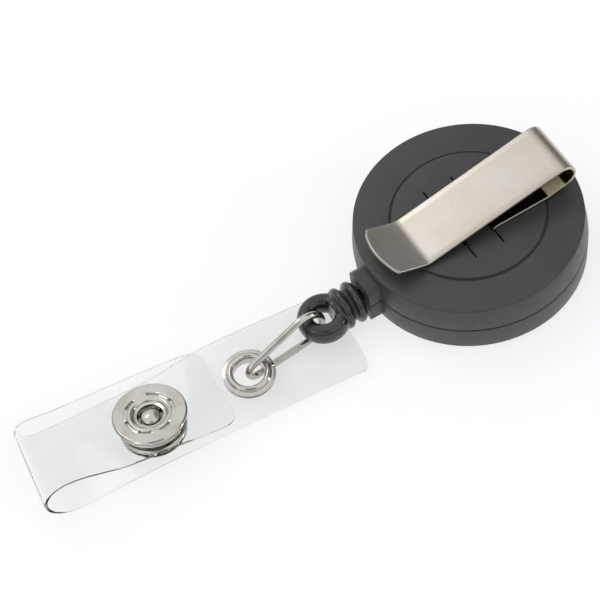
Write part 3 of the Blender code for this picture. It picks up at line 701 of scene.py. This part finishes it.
columns = [-1.0, -0.993, -0.975] + [-0.95 + 1.9 * k / 30 for k in range(31)] + [0.975, 0.993, 1.0]
TAIL_R, SHORT_R = 1.7, 2.6
grid_top, grid_bottom = [], []
for i in range(count):
    top_row, bottom_row = [], []
    for w in columns:
        x = abs(w) * HALF_W
        # rounded corners: the end rows draw back near the edges
        tail_back = 0.0 if x < HALF_W - TAIL_R else TAIL_R - math.sqrt(max(TAIL_R ** 2 - (x - HALF_W + TAIL_R) ** 2, 0))
        short_back = 0.0 if x < HALF_W - SHORT_R else SHORT_R - math.sqrt(
            max(SHORT_R ** 2 - (x - HALF_W + SHORT_R) ** 2, 0))
        at = i
        span_tail, span_short = 2.0 * PER, 1.0 * PER
        if i < span_tail:
            at = i + (tail_back / (2.9 / PER)) * (1 - i / span_tail)
        if i > count - 1 - 2 * span_short:
            f = (i - (count - 1 - 2 * span_short)) / (2 * span_short)
            at = i - (short_back / (3.6 / PER)) * f
        p = strap_mid(at, w)
        q0, q1 = strap_mid(at - 0.4, w), strap_mid(at + 0.4, w)
        tangent = (q1 - q0).normalized()
        normal = Vector((-tangent.y, tangent.x))
        edge = 1.0
        if abs(w) > 0.999:
            edge = 0.62
        elif abs(w) > 0.99:
            edge = 0.9
        if i in (0, count - 1):
            edge *= 0.7
        h = THICK / 2 * edge
        wy = w * HALF_W
        top_row.append(STRAP @ Vector((p.x + normal.x * h, wy, p.y + normal.y * h)))
        bottom_row.append(STRAP @ Vector((p.x - normal.x * h, wy, p.y - normal.y * h)))
    grid_top.append(top_row)
    grid_bottom.append(bottom_row)
verts, faces, cols = [], [], len(columns)
for row in grid_top:
    verts += row
for row in grid_bottom:
    verts += row
B = count * cols
for i in range(count - 1):
    for k in range(cols - 1):
        p = i * cols + k
        faces.append((p, p + 1, p + cols + 1, p + cols))
        faces.append((B + p, B + p + cols, B + p + cols + 1, B + p + 1))
    for k in (0, cols - 1):
        p = i * cols + k
        faces.append((p, p + cols, B + p + cols, B + p))
for i in (0, count - 1):
    for k in range(cols - 1):
        p = i * cols + k
        faces.append((p, B + p, B + p + 1, p + 1))
strap = piece("snap_strap", (verts, faces), VINYL, sharp=45)
# three stretches of the one strip, told apart by slot number: long leaf, fold, short leaf
strap.data.materials.append(VINYL)
strap.data.materials.append(VINYL)
FOLD_FROM, FOLD_TO = 11 * PER, 19 * PER
stretch = []
for i in range(count - 1):
    part_of = 0 if i < FOLD_FROM else (1 if i < FOLD_TO else 2)
    stretch += [part_of] * (2 * (cols - 1) + 2)
stretch += [0] * (cols - 1) + [2] * (cols - 1)
for f, part_of in zip(strap.data.polygons, stretch):
    f.material_index = part_of

eye_tilt = math.atan2(NEAR[4][1] - FAR[4][1], 2 * HALF_W)      # near edge lower at the eyelet
snap_tilt = math.radians(4.6)                                  # near edge higher at the snap
EYE_MID = (NEAR[4][1] + FAR[4][1]) / 2
LONG_MID = (NEAR[8][1] + FAR[8][1]) / 2
SHORT_MID = (NEAR[23][1] + FAR[23][1]) / 2
EYE = STRAP @ Matrix.Translation((0, 0, EYE_MID)) @ Matrix.Rotation(eye_tilt, 4, "X")
SNAP = STRAP @ Matrix.Translation((SNAP_U, SNAP_W, LONG_MID + 0.07)) @ Matrix.Rotation(snap_tilt, 4, "X")
STACK = (SHORT_MID - LONG_MID) * math.cos(snap_tilt)
# the upper half leans a little further
UPPER = SNAP @ Matrix.Translation((0, 0, STACK)) @ Matrix.Rotation(math.radians(2.4), 4, "X")
cut(strap, lathe([(0, -0.8), (2.62, -0.8), (2.62, 0.8), (0, 0.8)], 48, EYE))
cut(strap, lathe([(0, -0.6), (1.9, -0.6), (1.9, 0.6), (0, 0.6)], 40, SNAP))
cut(strap, lathe([(0, -0.7), (2.75, -0.7), (2.75, 0.7), (0, 0.7)], 40, UPPER))

# The tail beyond the eyelet lies between the legs of the link; it is the same strip, parted along a line of the mesh.
SEAM_U = dense(NEAR, PER)[int(3.0 * PER) + 1].x
inverse, upper_inverse = STRAP.inverted(), UPPER.inverted()


def stretch_of(face):
    """Which of the four pieces of strip a face belongs to."""
    middle = face.calc_center_median() / MM
    local = upper_inverse @ middle
    if face.material_index == 0 and abs(local.z) < 0.6 and math.hypot(local.x, local.y) < 3.0:
        return 2                                     # the wall of the socket's hole
    if face.material_index == 0 and (inverse @ middle).x < SEAM_U:
        return 3                                     # the tail
    return face.material_index


strips = {}
for k, name in ((0, "snap_strap"), (1, "snap_strap_fold"), (2, "snap_strap_flap"), (3, "snap_strap_tail")):
    bm = bmesh.new()
    bm.from_mesh(strap.data)
    bmesh.ops.delete(bm, geom=[f for f in bm.faces if stretch_of(f) != k], context="FACES")
    for f in bm.faces:
        f.material_index = 0
    mesh = bpy.data.meshes.new(name)
    bm.to_mesh(mesh)
    bm.free()
    mesh.materials.append(VINYL)
    strips[k] = (name, mesh)
bpy.data.objects.remove(strap, do_unlink=True)
for k, (name, mesh) in list(strips.items()):
    strips[k] = bpy.data.objects.new(name, mesh)
    bpy.context.scene.collection.objects.link(strips[k])
strap, bend, flap, tail = (strips[k] for k in range(4))


for o, node in ((strap, "strap_long_leaf"), (bend, "strap_fold"), (flap, "strap_short_leaf")):
    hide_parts(node)
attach(strap, "strap")
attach(flap, "flap")
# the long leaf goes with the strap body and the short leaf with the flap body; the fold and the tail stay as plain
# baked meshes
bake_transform(bend)
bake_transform(tail)

# ------------------------------------------------------------------ eyelet
top, bot = 0.24, -0.24
prof = fillet([(2.08, -0.62), (2.5, -0.62, 0.12), (2.5, bot), (2.48, top), (3.2, top), (3.6, top, 0.08),
               (3.6, top + 0.18, 0.08), (3.25, top + 0.26, 0.1), (3.02, top + 0.24, 0.12), (2.92, top + 0.58, 0.22),
               (2.55, top + 0.78, 0.25), (2.2, top + 0.62, 0.25), (2.08, top + 0.2, 0.2)], 5)
eyelet = piece("strap_eyelet", lathe(prof, 72, EYE), BRIGHT, sharp=50)
prof = fillet([(2.56, bot), (3.45, bot, 0.05), (3.52, bot - 0.14, 0.07), (3.3, bot - 0.34, 0.12), (2.7, bot - 0.36, 0.1),
               (2.56, bot - 0.3)], 4)
washer = piece("strap_eyelet_washer", lathe(prof, 72, EYE), BRIGHT, sharp=50)
for o, node in ((eyelet, "eyelet"), (washer, "eyelet_washer")):
    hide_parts(node)
    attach(o, "strap")

# ------------------------------------------------------------------ ring snap
prof = fillet([(0, bot - 0.33), (4.1, bot - 0.33, 0.1), (4.5, bot - 0.2, 0.12), (4.45, bot, 0.05), (1.65, bot), (1.65, 0.3),
               (1.1, 0.3), (1.1, bot), (0, bot)], 4)
stud_post = piece("snap_stud_post_ring", lathe(prof, 72, SNAP), BRIGHT, sharp=50)
base = top + STACK - 2.3
prof = fillet([(0, top), (4.3, top, 0.05), (4.62, top + 0.16, 0.1), (4.5, top + 0.36, 0.06), (4.6, top + 0.56, 0.12),
               (4.35, top + 0.74, 0.14), (3.5, top + 0.62, 0.2), (2.3, top + 0.46, 0.3),
               (1.3, top + 0.8, 0.4), (1.02, base + 1.25, 0.5)], 5)
for k in range(1, 12):
    a_ = math.radians(-50 + 140 * k / 11)
    prof.append((1.36 * math.cos(a_), base + 1.95 + 0.62 * math.sin(a_) + 0.0))
prof.append((0, base + 2.58))
stud = piece("snap_stud_ball", lathe(prof, 72, SNAP), BRIGHT, sharp=50)
prof = fillet([(1.85, bot - 0.4), (2.6, bot - 0.4, 0.1), (3.6, bot - 0.72, 0.2), (4.45, bot - 0.78, 0.14), (4.78, bot - 0.5, 0.14),
               (4.66, bot - 0.26, 0.08), (4.74, bot - 0.08, 0.06), (4.5, bot, 0.06), (2.4, bot), (2.4, 0.25), (1.85, 0.25)], 4)
socket_post = piece("snap_socket_post_ring", lathe(prof, 72, UPPER), BRIGHT, sharp=50)
z1 = top
prof = fillet([(1.8, z1), (4.8, z1, 0.06), (5.05, z1 + 0.10, 0.06), (5.08, z1 + 0.36, 0.14), (4.86, z1 + 0.54, 0.12),
               (3.50, z1 + 0.54, 0.06), (3.42, z1 + 0.46, 0.03), (3.42, z1 + 0.14, 0.04), (3.06, z1 + 0.14, 0.04),
               (3.06, z1 + 0.44, 0.06), (2.94, z1 + 0.54, 0.08), (2.62, z1 + 0.54, 0.18), (2.28, z1 + 0.34, 0.2),
               (2.2, z1 + 0.12, 0.1), (1.8, z1 + 0.05)], 4)
socket = piece("snap_socket_cap", lathe(prof, 96, UPPER), BRIGHT, sharp=50)
# between the slots that the ring spring sits in, the face runs on inwards
lug_parts_v, lug_parts_f = [], []
slots = (8, 56, 106, 180, 238, 304)
for k in range(6):
    a0, a1 = slots[k] + 15.0, slots[(k + 1) % 6] - 15.0 + (360.0 if k == 5 else 0.0)
    outline = []
    for j in range(9):
        t = math.radians(a0 + (a1 - a0) * j / 8)
        outline.append((3.54 * math.cos(t), 3.54 * math.sin(t)))
    for j in range(9):
        t = math.radians(a1 + (a0 - a1) * j / 8)
        outline.append((2.97 * math.cos(t), 2.97 * math.sin(t)))
    v, f = prism(outline, z1 + 0.10, z1 + 0.515, UPPER)
    lug_parts_f += [tuple(i + len(lug_parts_v) for i in face) for face in f]
    lug_parts_v += v
lugs = piece("snap_socket_lugs", (lug_parts_v, lug_parts_f), BRIGHT, sharp=30)
bev = lugs.modifiers.new("edge", "BEVEL")
bev.width, bev.segments = 0.05 * MM, 3
settle(lugs, 50)
for o, node, body in ((stud_post, "snap_stud_post", "strap"), (stud, "snap_stud", "strap"),
                      (socket_post, "snap_socket_post", "flap"), (socket, "snap_socket", "flap"), (lugs, None, "flap")):
    if node:
        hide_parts(node)
    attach(o, body)

# ------------------------------------------------------------------ floor, world and lights
floor = piece("floor", ([Vector((-900, -900, -0.02)), Vector((900, -900, -0.02)), Vector((900, 900, -0.02)),
                         Vector((-900, 900, -0.02))], [(0, 1, 2, 3)]))
fm = bpy.data.materials.new("floor_white")
fm.use_nodes = True
fb = fm.node_tree.nodes["Principled BSDF"]
fb.inputs["Base Color"].default_value = (0.34, 0.34, 0.34, 1)
fb.inputs["Roughness"].default_value = 0.9
fb.inputs["Specular IOR Level"].default_value = 0.0
fb.inputs["Emission Color"].default_value = (1, 1, 1, 1)
fb.inputs["Emission Strength"].default_value = 0.70
floor.data.materials.append(fm)

world = bpy.data.worlds.new("studio")
bpy.context.scene.world = world
world.use_nodes = True
wt = world.node_tree
bg = wt.nodes["Background"]
coord = wt.nodes.new("ShaderNodeTexCoord")


def facing(direction, lo, hi):
    """0 to 1 as a direction comes within an angle of the one given (degrees, lo outer, hi inner)."""
    v = Vector(direction).normalized()
    dot = wt.nodes.new("ShaderNodeVectorMath")
    dot.operation = "DOT_PRODUCT"
    dot.inputs[1].default_value = v
    wt.links.new(coord.outputs["Generated"], dot.inputs[0])
    ramp = wt.nodes.new("ShaderNodeMapRange")
    ramp.interpolation_type = "SMOOTHSTEP"
    ramp.inputs["From Min"].default_value = math.cos(math.radians(lo))
    ramp.inputs["From Max"].default_value = math.cos(math.radians(hi))
    wt.links.new(dot.outputs["Value"], ramp.inputs["Value"])
    return ramp.outputs["Result"]


def shade(level, amount, value):
    """value darkened by amount times level."""
    a_ = wt.nodes.new("ShaderNodeMath")
    a_.operation = "MULTIPLY_ADD"
    wt.links.new(level, a_.inputs[0])
    a_.inputs[1].default_value = -amount
    a_.inputs[2].default_value = 1.0
    b_ = wt.nodes.new("ShaderNodeMath")
    b_.operation = "MULTIPLY"
    wt.links.new(a_.outputs[0], b_.inputs[0])
    if isinstance(value, float):
        b_.inputs[1].default_value = value
    else:
        wt.links.new(value, b_.inputs[1])
    return b_.outputs[0]


level = shade(facing((-0.23, -0.52, 0.82), 20.0, 11.0), 0.66, 1.0)
level = shade(facing((0.88, 0.18, 0.36), 48.0, 24.0), 0.70, level)
level = shade(facing((-0.35, -0.93, 0.10), 40.0, 18.0), 0.35, level)
level = shade(facing((-0.95, 0.30, 0.15), 34.0, 14.0), 0.5, level)
up_dot = wt.nodes.new("ShaderNodeVectorMath")
up_dot.operation = "DOT_PRODUCT"
up_dot.inputs[1].default_value = (0.0, 0.0, 1.0)
wt.links.new(coord.outputs["Generated"], up_dot.inputs[0])
low_band = wt.nodes.new("ShaderNodeMapRange")
low_band.interpolation_type = "SMOOTHSTEP"
for key, value in (("From Min", 0.12), ("From Max", 0.42), ("To Min", 1.0), ("To Max", 0.0)):
    low_band.inputs[key].default_value = value
wt.links.new(up_dot.outputs["Value"], low_band.inputs["Value"])
level = shade(low_band.outputs["Result"], 0.52, level)
wt.links.new(level, bg.inputs["Strength"])
bg.inputs["Color"].default_value = (1, 1, 1, 1)


def softbox(name, place, aim, size, watts):
    data = bpy.data.lights.new(name, "AREA")
    data.shape, data.size, data.size_y, data.energy = "RECTANGLE", size[0], size[1], watts
    o = bpy.data.objects.new(name, data)
    bpy.context.scene.collection.objects.link(o)
    o.location = place
    o.rotation_mode = "QUATERNION"
    o.rotation_quaternion = (Vector(aim) - Vector(place)).to_track_quat("-Z", "Y")
    return o


softbox("softbox_back", (-0.10, 0.34, 0.42), (-0.02, 0, 0), (0.16, 0.10), 0.22)
softbox("softbox_left", (-0.45, -0.10, 0.30), (-0.03, 0, 0), (0.10, 0.14), 0.08)
softbox("softbox_rim", (0.37, -0.23, 0.15), (0, 0, 0.005), (0.05, 0.12), 0.26)
